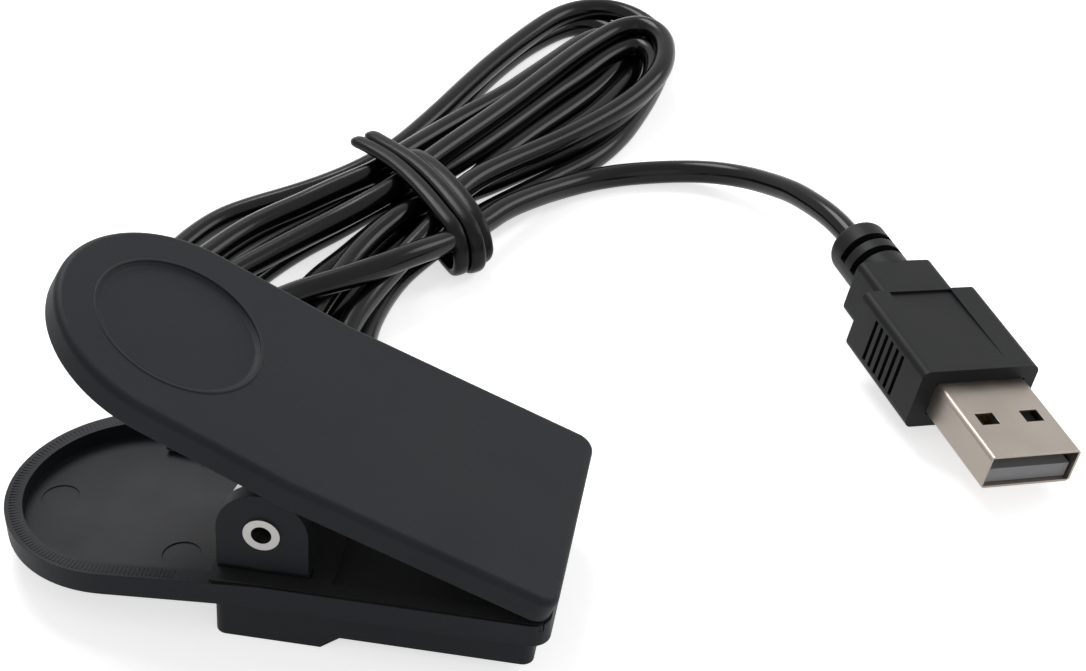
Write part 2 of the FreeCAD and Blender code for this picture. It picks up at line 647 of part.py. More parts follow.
def usb_tongue():
    """The insulator: a tongue along the shell's lower side and a block that closes its root."""
    tongue = block("tongue_blade", "tongue_width", "-shell_length + tongue_back",
                   "shell_length", "tongue_height", "0",
                   "tongue_height / 2 + fit_gap + shell_sheet - shell_height / 2")
    root = block("tongue_root", "shell_width - 2 * shell_sheet - 2 * fit_gap", "-1",
                 "shell_root + 0.5", "shell_height - 2 * shell_sheet - 2 * fit_gap")
    return laid(fuse("usb_tongue", tongue, root))


def usb_contact(k):
    """A flat contact on the tongue, with a narrower lip at its front."""
    name = "usb_contact_%d" % (k + 1)
    place = "pad_pitch * %g" % (k - 1.5)
    level = "tongue_height + fit_gap + shell_sheet + pad_height / 2 - shell_height / 2"
    pad = block(name + "_pad", "pad_width", "-1 - pad_length", "pad_length", "pad_height", place,
                level)
    lip = block(name + "_lip", "pad_width * 0.6", "-1.6 - pad_length", "1", "pad_height", place,
                level)
    return laid(fuse(name, pad, lip))


def grip_groove(name, place, side):
    """One finger groove down a side of the plug's body."""
    return block(name, "2 * groove_depth", place, "groove_width", "groove_height",
                 "grip_shift + body_width / 2 * %d" % side)


def neck_sweep(name, side, end):
    """The hollow curve between the neck's side and the body's end."""
    corner = "grip_shift + neck_width / 2 * %d" % side
    fill = block(name + "_fill", "neck_sweep", end, "neck_sweep", "neck_height - 2 * body_corner",
                 "%s + neck_sweep / 2 * %d" % (corner, side))
    hollow = rod(name + "_hollow", "neck_sweep", "neck_height",
                 "%s + neck_sweep * %d" % (corner, side), end + " + neck_sweep",
                 "-neck_height / 2")
    return cut(name, fill, hollow)


def relief_slot(k, start):
    """A flexing slot across the relief: above and below by turns, a half pitch apart."""
    name = "grip_slot_%d" % (k + 1)
    side = 1 if k % 2 == 0 else -1
    spot = "%s + slot_first + slot_pitch * %g" % (start, k // 2 + (0.5 if side < 0 else 0))
    ring = cut(name + "_ring",
               rod(name + "_outer", "relief_radius + 1", "relief_slot", "grip_shift", spot, 0,
                   Y_AXIS),
               rod(name + "_inner", "relief_radius - relief_slot_depth", "3 * relief_slot",
                   "grip_shift", "%s - relief_slot" % spot, 0, Y_AXIS))
    keep = box(name + "_keep", "relief_radius + 1 + slot_reach", "2 * relief_slot",
               "relief_radius + 1",
               "grip_shift - relief_radius - 1" if side > 0 else "grip_shift - slot_reach",
               "%s - relief_slot / 2" % spot, "0" if side > 0 else "-relief_radius - 1")
    return common(name, ring, keep)


def plug_grip():
    """The moulded grip: a body with grooved sides and a sunk panel, a neck and a slotted relief."""
    body = rounded("grip_body", block("grip_body_box", "body_width", "grip_front", "body_length",
                                      "body_height", "grip_shift"),
                   "body_corner", lambda edge, middle: along_y(edge))
    grooves = [grip_groove("grip_side_groove_%d_%d" % (k + 1, side + 1),
                           "groove_start + groove_pitch * %d" % k, side)
               for k in range(int(number("groove_count"))) for side in (-1, 1)]
    panel = box("grip_panel", "panel_width", "panel_length", "body_height")
    panel.Placement.Rotation = Rotation(X_AXIS, -number("panel_slope"))
    at(panel, "panel_left", "panel_start", "body_height / 2")
    body = cut("grip_body_grooved", body, panel, *grooves)
    end = "(grip_front + body_length)"
    neck = rounded("grip_neck", block("grip_neck_box", "neck_width", end + " - 1",
                                      "neck_length + 2", "neck_height", "grip_shift"),
                   "body_corner", lambda edge, middle: along_y(edge))
    sweeps = [neck_sweep("grip_sweep_%d" % (side + 1), side, end) for side in (-1, 1)]
    start = "(%s + neck_length)" % end
    bulb = rounded("grip_bulb", rod("grip_bulb_rod", "relief_radius", "relief_length", "grip_shift",
                                    start, 0, Y_AXIS),
                   "relief_round", lambda edge, middle: edge.Closed)
    slots = [relief_slot(k, start) for k in range(4)]
    pocket = block("grip_pocket", "shell_width", "grip_front - 1", "shell_root + 1 - grip_front",
                   "shell_height")
    return laid(cut("plug_grip", fuse("grip_whole", body, neck, bulb, *sweeps), pocket, *slots))


# ---- cable: a lead out of the housing, a tied hank and a tail to the plug ----

LEAD_ROUTE = [(1.5, 26.0, 3.0), (0.2, 35.0, 1.8), (-0.2, 44.0, 1.6), (3.4, 55.0, 2.2)]
TAIL_ROUTE = [(7.0, 61.5, 4.2), (13.2, 70.4, 3.6), (19.6, 78.8, 2.0), (26.3, 83.0, 1.6),
              (33.9, 84.8, 2.3), (41.4, 83.4, 3.9), (47.4, 78.9, 5.9)]
RIGHT_LOOPS = [(-2, 0), (0, 8.5), (22, 12.5), (50, 9), (62, -2), (62, -12), (50, -17),
               (30, -16), (8, -11.5), (0, -8.5)]
LEFT_LOOPS = [(-6, 72), (-20, 64), (-30, 50), (-31, 34), (-24, 20), (-8, 18), (-2.2, 24),
              (-2.2, 40), (1.0, 50), (5, 56), (11, 62)]


def gland():
    """The tapered sleeve where the cable leaves the housing, ringed so that it can bend."""
    wall = "(block_width / 2)"
    sleeve = cone("gland_sleeve", "gland_base", "gland_tip", "gland_length", "gland_place", wall,
                  "gland_height", Y_AXIS)
    neck = rod("gland_neck_rod", "gland_neck", "gland_inside + 0.5", "gland_place",
               "%s - gland_inside" % wall, "gland_height", Y_AXIS)
    rings = []
    for k in range(int(number("gland_rings"))):
        spot = "%s + gland_length * %g" % (wall, (k + 1) / (number("gland_rings") + 1))
        rings.append(cut("gland_ring_%d" % (k + 1),
                         rod("gland_ring_outer_%d" % (k + 1), "gland_base + 1", "gland_groove",
                             "gland_place", spot, "gland_height", Y_AXIS),
                         rod("gland_ring_inner_%d" % (k + 1), "gland_tip - gland_groove / 2",
                             "3 * gland_groove", "gland_place", "%s - gland_groove" % spot,
                             "gland_height", Y_AXIS)))
    return cut("gland", fuse("gland_whole", sleeve, neck), *rings)


def cord_tube(name, route):
    solid, length, radii = tube(route, number("cord_radius"))
    print(name, "%.1f mm long, bends of" % length, ", ".join("%.1f" % r for r in radii), "mm")
    return shaped(name, solid)


def cord_lead():
    """The cable from the gland's tip into the hank."""
    start = Vector(number("gland_place"), number("block_width / 2 + gland_length"),
                   number("gland_height"))
    return cord_tube("cord_lead", [start] + [Vector(*spot) for spot in LEAD_ROUTE])


def cord_tail():
    """The cable from the hank over the table to the plug, which it meets in line."""
    end = number("grip_front + body_length + neck_length + relief_length")
    lie = Rotation(Z_AXIS, number("plug_yaw")) * Rotation(X_AXIS, number("plug_pitch"))
    centre = Vector(number("plug_x"), number("plug_y"), number("plug_z"))
    lie = lie * Rotation(Y_AXIS, number("plug_roll"))
    last = [centre + lie.multVec(Vector(number("grip_shift"), end + back, 0))
            for back in (number("cord_straight"), 0)]
    return cord_tube("cord_tail", [Vector(*spot) for spot in TAIL_ROUTE] + last)


def from_waist(a, b):
    """A point beside the hank's waist: a along the strands, b across them to the right."""
    turn = math.radians(number("hank_turn"))
    return Vector(number("waist_x") + a * math.cos(turn) + b * math.sin(turn),
                  number("waist_y") + a * math.sin(turn) - b * math.cos(turn), 0)


def lobe(spots):
    """One side of the hank as a slab with a smooth outline and soft edges."""
    curve = Part.BSplineCurve()
    curve.interpolate(spots, PeriodicFlag=True)
    slab = Part.Face(Part.Wire(curve.toShape())).extrude(Z_AXIS * number("hank_height"))
    if slab.Volume < 0:
        slab.reverse()
    rims = [edge for edge in slab.Edges if edge.Closed and edge.BoundBox.ZLength < 0.01]
    return slab.makeFillet(number("hank_edge"), rims)


def cord_hank():
    """The wound loops of the cable as one solid of their outer shape, pressed in by the tie."""
    right = lobe([from_waist(a, b) for a, b in RIGHT_LOOPS])
    left = lobe([Vector(x, y, 0) for x, y in LEFT_LOOPS])
    print("hank: %.0f and %.0f mm3 of loops" % (right.Volume, left.Volume))
    return shaped("cord_hank", right.fuse(left).cut(tie_shape()))


def tie_shape():
    """A flat band round the waist, with its twisted end standing out on the far side."""
    band, width, span = number("tie_band"), number("tie_width"), number("tie_span")
    inner = number("hank_height - tie_press") - band
    loop = Part.makeBox(span + 2 * band, width, inner + 2 * band,
                        Vector(-span / 2 - band, -width / 2, 0))
    loop = loop.cut(Part.makeBox(span, 2 * width, inner, Vector(-span / 2, -width, band)))
    end = Part.makeBox(number("tie_tail"), width, band, Vector(-number("tie_tail"), -width / 2, 0))
    end.Placement = Placement(Vector(-span / 2 + 2 * band, 0, inner + band),
                              Rotation(Z_AXIS, number("tie_tail_turn")))
    whole = loop.fuse(end)
    whole.Placement = Placement(Vector(number("tie_x"), number("tie_y"), 0),
                                Rotation(Z_AXIS, number("tie_turn")))
    return whole


def main():
    node("lower_jaw", lower_jaw())
    node("jaw_liner", jaw_liner())
    node("contact_housing", housing())
    for k in range(4):
        node("cover_screw_%d" % (k + 1), cover_screw(k))
    node("circuit_board", circuit_board())
    board_parts()
    for k in range(4):
        node("contact_barrel_%d" % (k + 1), barrel(k))
        node("contact_plunger_%d" % (k + 1), plunger(k))
        node("lead_wire_%d" % (k + 1), lead_wire(k))
    node("hinge_pin", hinge_pin())
    node("torsion_spring", torsion_spring())
    node("upper_jaw", upper_jaw())
    node("grip_pad", grip_pad())
    node("usb_shell", usb_shell())
    node("usb_tongue", usb_tongue())
    for k in range(4):
        node("usb_contact_%d" % (k + 1), usb_contact(k))
    node("plug_grip", plug_grip())
    node("gland", gland())
    node("cord_lead", cord_lead())
    node("cord_tail", cord_tail())
    node("cord_hank", cord_hank())
    node("twist_tie", shaped("twist_tie", tie_shape()))
    doc.recompute()
    for item in doc.Objects:
        if "Invalid" in item.State or "Error" in item.State:
            raise RuntimeError("%s did not build: %s" % (item.Name, item.State))
    os.makedirs("parts", exist_ok=True)
    for item in NODES:
        shape = item.Shape
        if shape.isNull() or not shape.isValid() or len(shape.Solids) != 1:
            raise RuntimeError("%s is not one sound solid" % item.Label)
        shape.exportStep("parts/%s.step" % item.Label)
        print("%-18s %9.2f mm3" % (item.Label, shape.Volume))


main()
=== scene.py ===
import bpy
import bmesh
import math
from mathutils import Matrix, Vector


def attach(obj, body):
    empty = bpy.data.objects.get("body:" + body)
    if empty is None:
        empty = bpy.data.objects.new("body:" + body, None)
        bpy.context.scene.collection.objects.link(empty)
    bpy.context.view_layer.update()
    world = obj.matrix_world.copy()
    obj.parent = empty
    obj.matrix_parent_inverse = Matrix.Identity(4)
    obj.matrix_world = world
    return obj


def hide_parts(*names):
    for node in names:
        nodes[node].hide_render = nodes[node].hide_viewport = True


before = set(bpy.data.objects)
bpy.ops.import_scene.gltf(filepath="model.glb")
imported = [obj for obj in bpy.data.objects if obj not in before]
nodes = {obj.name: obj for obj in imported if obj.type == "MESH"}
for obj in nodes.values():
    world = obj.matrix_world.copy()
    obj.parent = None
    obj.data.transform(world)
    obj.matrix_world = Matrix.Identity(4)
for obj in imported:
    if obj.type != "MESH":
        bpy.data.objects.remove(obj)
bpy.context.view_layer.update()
mil = 0.001  # one millimetre


def mm(x, y, z):
    return Vector((x, y, z)) * mil


def addObject(name, data):
    piece = bpy.data.objects.new(name, data)
    bpy.context.collection.objects.link(piece)
    return piece


# camera, floor and light

viewSet = {
    "place": (47.65, -188.03, 167.80),  # mm
    "ahead": (-0.09601, 0.80943, -0.57932),
    "right": (0.98682, 0.15387, 0.05001),
    "lens": 79.56,
}

lightSet = {
    "world": 0.32,
    "key": {"place": (-160, 330, 420), "size": 280, "power": 1.5},
    "fill": {"place": (260, -330, 300), "size": 400, "power": 0.17},
    "rim": {"place": (330, 260, 260), "size": 200, "power": 0.4},
    "aim": (20, 50, 0),
}

floorSet = {"half": 4.0, "colour": (0.9, 0.9, 0.91), "glow": 0.66}  # half its side in metres


def makeCamera(s):
    lens = bpy.data.cameras.new("viewCamera")
    lens.lens = s["lens"]
    lens.sensor_width = 36
    lens.clip_start = 0.01
    camera = addObject("viewCamera", lens)
    back = -Vector(s["ahead"]).normalized()
    right = Vector(s["right"]).normalized()
    up = back.cross(right).normalized()
    turn = Matrix((right, up, back)).transposed().to_4x4()
    camera.matrix_world = Matrix.Translation(mm(*s["place"])) @ turn
    bpy.context.scene.camera = camera


def softLamp(name, s, aim):
    lamp = bpy.data.lights.new(name, "AREA")
    lamp.shape = "DISK"
    lamp.size = s["size"] * mil
    lamp.energy = s["power"]
    thing = addObject(name, lamp)
    place = mm(*s["place"])
    turn = (place - mm(*aim)).to_track_quat("Z", "Y").to_matrix().to_4x4()
    thing.matrix_world = Matrix.Translation(place) @ turn


def seenRays(tree):
    path = tree.nodes.new("ShaderNodeLightPath")
    total = path.outputs["Is Camera Ray"]
    for name in ("Is Glossy Ray", "Is Transmission Ray"):
        most = tree.nodes.new("ShaderNodeMath")
        most.operation = "MAXIMUM"
        tree.links.new(total, most.inputs[0])
        tree.links.new(path.outputs[name], most.inputs[1])
        total = most.outputs[0]
    return total


def makeLight(s):
    world = bpy.data.worlds.new("studio")
    bpy.context.scene.world = world
    world.use_nodes = True
    tree = world.node_tree
    tree.nodes.clear()
    out = tree.nodes.new("ShaderNodeOutputWorld")
    dim = tree.nodes.new("ShaderNodeBackground")
    dim.inputs["Color"].default_value = (1, 1, 1, 1)
    dim.inputs["Strength"].default_value = s["world"]
    white = tree.nodes.new("ShaderNodeBackground")
    white.inputs["Color"].default_value = (1, 1, 1, 1)
    mix = tree.nodes.new("ShaderNodeMixShader")
    tree.links.new(seenRays(tree), mix.inputs[0])
    tree.links.new(dim.outputs[0], mix.inputs[1])
    tree.links.new(white.outputs[0], mix.inputs[2])
    tree.links.new(mix.outputs[0], out.inputs[0])
    for name in ("key", "fill", "rim"):
        softLamp(name + "Lamp", s[name], s["aim"])
    bpy.context.scene.view_settings.view_transform = "Standard"


def makeFloor(s):
    half = s["half"]
    mesh = bpy.data.meshes.new("floor")
    mesh.from_pydata([(-half, -half, 0), (half, -half, 0), (half, half, 0), (-half, half, 0)],
                     [], [(0, 1, 2, 3)])
    floor = addObject("floor", mesh)
    material = bpy.data.materials.new("floorWhite")
    material.use_nodes = True
    tree = material.node_tree
    tree.nodes.clear()
    out = tree.nodes.new("ShaderNodeOutputMaterial")
    matt = tree.nodes.new("ShaderNodeBsdfDiffuse")
    matt.inputs["Color"].default_value = (*s["colour"], 1)
    glow = tree.nodes.new("ShaderNodeEmission")
    glow.inputs["Color"].default_value = (1, 1, 1, 1)
    scale = tree.nodes.new("ShaderNodeMath")
    scale.operation = "MULTIPLY"
    scale.inputs[1].default_value = s["glow"]
    add = tree.nodes.new("ShaderNodeAddShader")
    tree.links.new(seenRays(tree), scale.inputs[0])
    tree.links.new(scale.outputs[0], glow.inputs["Strength"])
    tree.links.new(matt.outputs[0], add.inputs[0])
    tree.links.new(glow.outputs[0], add.inputs[1])
    tree.links.new(add.outputs[0], out.inputs[0])
    mesh.materials.append(material)


makeCamera(viewSet)
makeLight(lightSet)
makeFloor(floorSet)
print("stage: camera, light and floor")


# finishes

def newFinish(name, colour, roughness, metallic=0.0, gloss=0.26):
    material = bpy.data.materials.new(name)
    material.use_nodes = True
    tree = material.node_tree
    shader = tree.nodes["Principled BSDF"]
    shader.inputs["Base Color"].default_value = (*colour, 1)
    shader.inputs["Roughness"].default_value = roughness
    shader.inputs["Metallic"].default_value = metallic
    if not metallic:
        shader.inputs["Specular IOR Level"].default_value = gloss
    place = tree.nodes.new("ShaderNodeTexCoord")
    return material, tree, shader, place.outputs["Object"]


def noise(tree, place, scale, detail=2.0, rough=0.5):
    grain = tree.nodes.new("ShaderNodeTexNoise")
    grain.inputs["Scale"].default_value = scale
    grain.inputs["Detail"].default_value = detail
    grain.inputs["Roughness"].default_value = rough
    tree.links.new(place, grain.inputs["Vector"])
    return grain.outputs["Fac"]


def spread(tree, value, low, high):
    ramp = tree.nodes.new("ShaderNodeMapRange")
    ramp.inputs["From Min"].default_value = 0.3
    ramp.inputs["From Max"].default_value = 0.7
    ramp.inputs["To Min"].default_value = low
    ramp.inputs["To Max"].default_value = high
    tree.links.new(value, ramp.inputs["Value"])
    return ramp.outputs["Result"]


def tint(tree, value, dark, light, target):
    mix = tree.nodes.new("ShaderNodeMix")
    mix.data_type = "RGBA"
    mix.inputs["A"].default_value = (*dark, 1)
    mix.inputs["B"].default_value = (*light, 1)
    tree.links.new(value, mix.inputs["Factor"])
    tree.links.new(mix.outputs["Result"], target)


def relief(tree, shader, value, strength, depth):
    bump = tree.nodes.new("ShaderNodeBump")
    bump.inputs["Strength"].default_value = strength
    bump.inputs["Distance"].default_value = depth
    tree.links.new(value, bump.inputs["Height"])
    tree.links.new(bump.outputs["Normal"], shader.inputs["Normal"])


def mouldedPlastic(name, colour, roughness, grain, depth, gloss=0.26):
    material, tree, shader, place = newFinish(name, colour, roughness, 0.0, gloss)
    fine = noise(tree, place, grain, 2.0, 0.6)
    broad = noise(tree, place, 90.0, 3.0, 0.5)
    dark = [c * 0.9 for c in colour]
    light = [c * 1.1 for c in colour]
    tint(tree, broad, dark, light, shader.inputs["Base Color"])
    tree.links.new(spread(tree, broad, roughness - 0.04, roughness + 0.04), shader.inputs["Roughness"])
    relief(tree, shader, fine, 0.35, depth)
    return material


def cableJacket():
    material, tree, shader, place = newFinish("cableJacket", (0.003, 0.0031, 0.0034), 0.17, 0.0, 0.21)
    fine = noise(tree, place, 900.0, 2.0)
    broad = noise(tree, place, 60.0, 2.0)
    tint(tree, broad, (0.0022, 0.0023, 0.0025), (0.0036, 0.0038, 0.0042), shader.inputs["Base Color"])
    tree.links.new(spread(tree, broad, 0.14, 0.2), shader.inputs["Roughness"])
    relief(tree, shader, fine, 0.15, 0.00004)
    return material


def metal(name, colour, roughness, grain=1400.0):
    material, tree, shader, place = newFinish(name, colour, roughness, 1.0)
    fine = noise(tree, place, grain, 3.0)
    broad = noise(tree, place, 120.0, 2.0)
    tint(tree, broad, [c * 0.93 for c in colour], [min(1, c * 1.05) for c in colour],
         shader.inputs["Base Color"])
    tree.links.new(spread(tree, broad, roughness - 0.05, roughness + 0.06), shader.inputs["Roughness"])
    relief(tree, shader, fine, 0.12, 0.00003)
    return material


clipPlastic = mouldedPlastic("clipPlastic", (0.0088, 0.0099, 0.0132), 0.55, 2600.0, 0.00006, 0.19)
linerRubber = mouldedPlastic("linerRubber", (0.0125, 0.0128, 0.0142), 0.62, 1800.0, 0.00005, 0.3)
plugPlastic = mouldedPlastic("plugPlastic", (0.0052, 0.0056, 0.0066), 0.5, 2200.0, 0.00006, 0.19)
tiePlastic = mouldedPlastic("tiePlastic", (0.0025, 0.0025, 0.0028), 0.28, 1200.0, 0.00004, 0.15)
boardGreen = mouldedPlastic("boardGreen", (0.015, 0.11, 0.05), 0.4, 1500.0, 0.00002)
chipBlack = mouldedPlastic("chipBlack", (0.015, 0.015, 0.016), 0.55, 3000.0, 0.00003)
capacitorTan = mouldedPlastic("capacitorTan", (0.4, 0.28, 0.16), 0.5, 3000.0, 0.00003)
tonguePlastic = mouldedPlastic("tonguePlastic", (0.3, 0.3, 0.31), 0.45, 2000.0, 0.00003)
cable = cableJacket()
pinSteel = metal("pinSteel", (0.44, 0.43, 0.42), 0.28)
springSteel = metal("springSteel", (0.5, 0.5, 0.51), 0.28)
screwSteel = metal("screwSteel", (0.3, 0.3, 0.31), 0.34)
shellNickel = metal("shellNickel", (0.34, 0.30, 0.265), 0.34)
contactGold = metal("contactGold", (0.85, 0.66, 0.3), 0.25)
barrelBrass = metal("barrelBrass", (0.7, 0.55, 0.28), 0.32)
wireColours = {"lead_wire_1": (0.45, 0.02, 0.02), "lead_wire_2": (0.65, 0.65, 0.62),
               "lead_wire_3": (0.03, 0.28, 0.07), "lead_wire_4": (0.02, 0.02, 0.02)}
print("stage: finishes")


# the cable: one line from the housing, through its tied loops, to the plug
# nearly every fold here is tighter than a real cable allows, and strands cut through each other

cableSet = {
    "radius": 1.5,
    # out of the housing and under the tie
    "lead": [(1.5, 20.5, 3), (1.5, 26, 3), (0.2, 33, 1.9), (-0.8, 40.1, 1.6), (-0.5, 46.1, 1.6),
             (0.5, 51.6, 1.6), (1.9, 55.6, 1.7), (4.8, 60.8, 2.3)],
    # each far loop, then each near loop behind the clip
    "farA": [(8.1, 67.2, 2.3), (11.7, 73.3, 1.8), (16, 79.6, 1.6), (20.4, 85.7, 1.6), (22.9, 91.9, 1.6),
             (24.4, 98.4, 1.6), (25.8, 106.5, 1.7), (26.6, 115, 2.3), (24.6, 120.8, 3.1), (20, 124.4, 3.6),
             (15, 124.6, 3.8), (10.5, 121.2, 3.8), (7.2, 114.4, 3.8), (3.5, 105.1, 3.7), (0.7, 96.8, 3.5),
             (-1.8, 89.1, 3.2), (-5.4, 80, 2.6)],
    "nearA": [(-9.3, 74.3, 2.2), (-13.1, 70.4, 1.8), (-16.9, 66.8, 1.7), (-20.5, 63.8, 1.6),
              (-23.5, 60.6, 1.6), (-25.6, 56.7, 1.6), (-27.2, 52, 1.6), (-28.6, 45, 1.6), (-29, 36.5, 1.6),
              (-27, 27, 1.6), (-22, 20.4, 1.6), (-14.5, 18, 1.7), (-8, 19.6, 2.2), (-3.8, 24.5, 3.0),
              (-2.5, 31, 3.6), (-2.2, 38.5, 3.9), (-1.5, 42.9, 4.0), (-0.5, 47.2, 4.1), (0.7, 51.4, 4.3),
              (2.1, 55.2, 4.7), (3.6, 59.6, 5.1)],
    "farB": [(4.4, 64.4, 5.4), (6.2, 69.8, 5.6), (9.7, 75.5, 5.3), (13.7, 80.9, 5.0), (17.3, 85.7, 5.0),
             (20.6, 90.6, 5.1), (23.2, 94.8, 5.3), (25.3, 99, 5.6), (26.9, 103.5, 6.0), (27.2, 108.2, 6.3),
             (26.2, 113, 6.5), (23.4, 115.9, 6.5), (20, 114.6, 6.3), (17.1, 110.4, 6.0), (14.3, 105.2, 5.8),
             (10.8, 97, 5.7), (7.3, 88.9, 5.6), (3.9, 81.6, 5.6), (0.6, 74.6, 5.6), (-1, 70.4, 5.6)],
    "nearB": [(-2.9, 66.5, 5.4), (-5.5, 62.7, 5.1), (-8.4, 58.9, 4.7), (-11, 55.3, 4.6), (-13.4, 51.6, 4.6),
              (-15.8, 47.8, 4.6), (-19, 42.4, 4.7), (-21.8, 36, 4.7), (-22, 28.5, 4.7), (-18.2, 22.6, 4.7),
              (-12, 21.2, 4.7), (-7.4, 24.8, 4.7), (-6.4, 31, 4.6), (-6.8, 37, 4.6), (-6.3, 41.8, 4.6),
              (-5.5, 46.3, 4.6), (-4.4, 51.7, 4.7), (-3, 56, 4.9), (-1.2, 59.8, 5.2), (0.4, 63, 5.0)],
    "farC": [(2.3, 66.8, 4.0), (6.6, 72.8, 2.7), (12, 79.2, 2.9), (16.9, 85, 3.2), (21, 91.2, 3.4),
             (23.6, 97, 3.9), (25.9, 104.1, 4.1), (25.5, 110.7, 4.4), (22.6, 114.1, 4.4), (18.8, 109.6, 4.1),
             (15.9, 103.8, 3.6), (12.8, 98.2, 3.4), (8.8, 89.1, 3.4), (4.7, 80.6, 3.3), (0.3, 73.4, 2.8)],
    "nearC": [(-2.6, 69.2, 2.5), (-5.8, 66.1, 2.1), (-8.9, 61.6, 1.6), (-11.9, 57.2, 1.6),
              (-14.2, 53.1, 1.6), (-16.2, 48.6, 1.6), (-18, 43.2, 1.6), (-19.6, 37, 1.6), (-18.6, 30.2, 1.6),
              (-14.4, 26.8, 1.6), (-10.2, 29.2, 1.6), (-9.2, 34.6, 1.6), (-9.8, 40.2, 1.6),
              (-10, 45, 1.6), (-8.9, 49.7, 1.6), (-6.8, 54.4, 1.6), (-5, 58.9, 1.8), (-3, 62.9, 2.2),
              (-0.2, 67, 2.4)],
    "farE": [(3.6, 71.6, 2.4), (7.6, 75.6, 1.8), (11.4, 81.6, 1.6), (14.8, 89.2, 1.6), (18.3, 95.8, 1.6),
             (20.7, 102.4, 1.6), (22.5, 109.2, 1.6), (22.4, 115.6, 1.6), (19.2, 121, 1.6), (15.6, 123.4, 1.6),
             (11.8, 122.3, 1.6), (8.6, 118.1, 1.6), (5.7, 112.7, 1.6), (2.6, 104.4, 1.6), (0.5, 96.3, 1.6),
             (-1, 87.8, 1.6), (-2.8, 80, 1.9), (-5, 74.6, 2.3)],
    "nearE": [(-7.6, 70.6, 2.2), (-10.2, 67, 1.8), (-12.9, 63.1, 1.6), (-15.6, 59.1, 1.6),
              (-18.2, 54.8, 1.6), (-20.4, 50.5, 1.6), (-22.4, 44.5, 1.6), (-23.9, 38, 1.6), (-23.8, 31, 1.6),
              (-20.8, 25, 1.6), (-15.2, 22.2, 1.6), (-9.8, 23.4, 1.6), (-6.4, 28, 1.6), (-5.9, 34, 1.6),
              (-5.7, 39.2, 1.6), (-5, 43, 1.6), (-4.1, 46.9, 1.6), (-3, 51.4, 1.6), (-1.8, 55.9, 1.8),
              (0.6, 61, 2.3)],
    "farD": [(3, 67.4, 2.2), (4.6, 73.4, 1.6), (7.7, 82.2, 1.6), (11.6, 90.6, 1.6), (15.4, 97.8, 1.7),
             (18.7, 104.6, 1.9), (20.6, 110.8, 2.5), (20, 115.4, 3.2), (17, 115.4, 4.2), (14.5, 111, 4.6),
             (12.1, 105.7, 4.6), (9.1, 99.4, 4.6), (6.8, 94.5, 4.6), (2.9, 88.2, 4.6), (-0.6, 81.8, 4.7),
             (-3.4, 76, 5.0)],
    "nearD": [(-6, 70.6, 5.0), (-9, 67.5, 4.7), (-11.5, 64.6, 4.5), (-13.9, 61.6, 4.3), (-16.5, 58.3, 4.3),
              (-18.7, 55.1, 4.3), (-20.6, 51.4, 4.3), (-22.4, 46.8, 4.4), (-25, 41, 4.6), (-26.8, 34, 5.2),
              (-26.2, 26.8, 6.2), (-22, 21, 7.2), (-16.4, 20, 7.7), (-12.4, 24, 7.8), (-12, 29.4, 7.7),
              (-11.6, 34.4, 7.5), (-8.8, 38.5, 7.1), (-4.7, 42.3, 7.0), (-0.3, 46.6, 6.9), (3, 50.7, 6.6),
              (5.6, 54.8, 5.7), (7.6, 58.8, 4.8)],
    # over the side of the bundle and out to the plug
    "tail": [(9.5, 63, 4.3), (11.4, 67.2, 4.1), (14.7, 72.6, 3.2), (17.7, 77.1, 2.2), (21.6, 81, 1.7),
             (26.8, 83.8, 1.6), (34.4, 85.7, 1.9), (40.4, 83.6, 3.2), (45.2, 78.9, 5.2), (48.3, 75, 6.6)],
    "order": ("lead", "farA", "nearA", "farB", "nearB", "farC", "nearC", "farE", "nearE", "farD", "nearD",
              "tail"),
    "plugEnd": (71.35, 37.5, 5.25), "plugTurn": 29.9, "plugPitch": 4.0, "plugRoll": 9.0,
    "plugShift": -0.4, "plugLength": 31.0, "straight": 4.5,
}


def plugMatrix(s):
    turn = (Matrix.Rotation(math.radians(s["plugTurn"]), 4, "Z")
            @ Matrix.Rotation(math.radians(s["plugPitch"]), 4, "X")
            @ Matrix.Rotation(math.radians(s["plugRoll"]), 4, "Y"))
    return Matrix.Translation(mm(*s["plugEnd"])) @ turn


def cableRoute(s):
    points = []
    for name in s["order"]:
        points += [mm(*spot) for spot in s[name]]
    plug = plugMatrix(s)
    for back in (s["straight"], 0.0):
        points.append(plug @ mm(s["plugShift"], s["plugLength"] + back, 0))
    return points


def makeCable(s):
    points = cableRoute(s)
    curve = bpy.data.curves.new("cable", "CURVE")
    curve.dimensions = "3D"
    curve.bevel_depth = s["radius"] * mil
    curve.bevel_resolution = 6
    curve.use_fill_caps = True
    curve.resolution_u = 8
    spline = curve.splines.new("NURBS")
    spline.points.add(len(points) - 1)
    for point, spot in zip(spline.points, points):
        point.co = (*spot, 1)
    spline.order_u = 3
    spline.use_endpoint_u = True
    piece = addObject("cable", curve)
    curve.materials.append(cable)
    return piece


def curveLength(piece):
    line = piece.data.copy()
    line.bevel_depth = 0
    probe = bpy.data.objects.new("probe", line)
    bpy.context.collection.objects.link(probe)
    mesh = bpy.data.meshes.new_from_object(probe.evaluated_get(bpy.context.evaluated_depsgraph_get()))
    spots = [v.co for v in mesh.vertices]
    total = sum((b - a).length for a, b in zip(spots, spots[1:]))
    bpy.data.objects.remove(probe)
    bpy.data.curves.remove(line)
    bpy.data.meshes.remove(mesh)
    return total


cableLine = makeCable(cableSet)
cableLength = curveLength(cableLine)
print("stage: cable, %.3f m" % cableLength)

# moulded shells: the CAD shapes with their edges broken

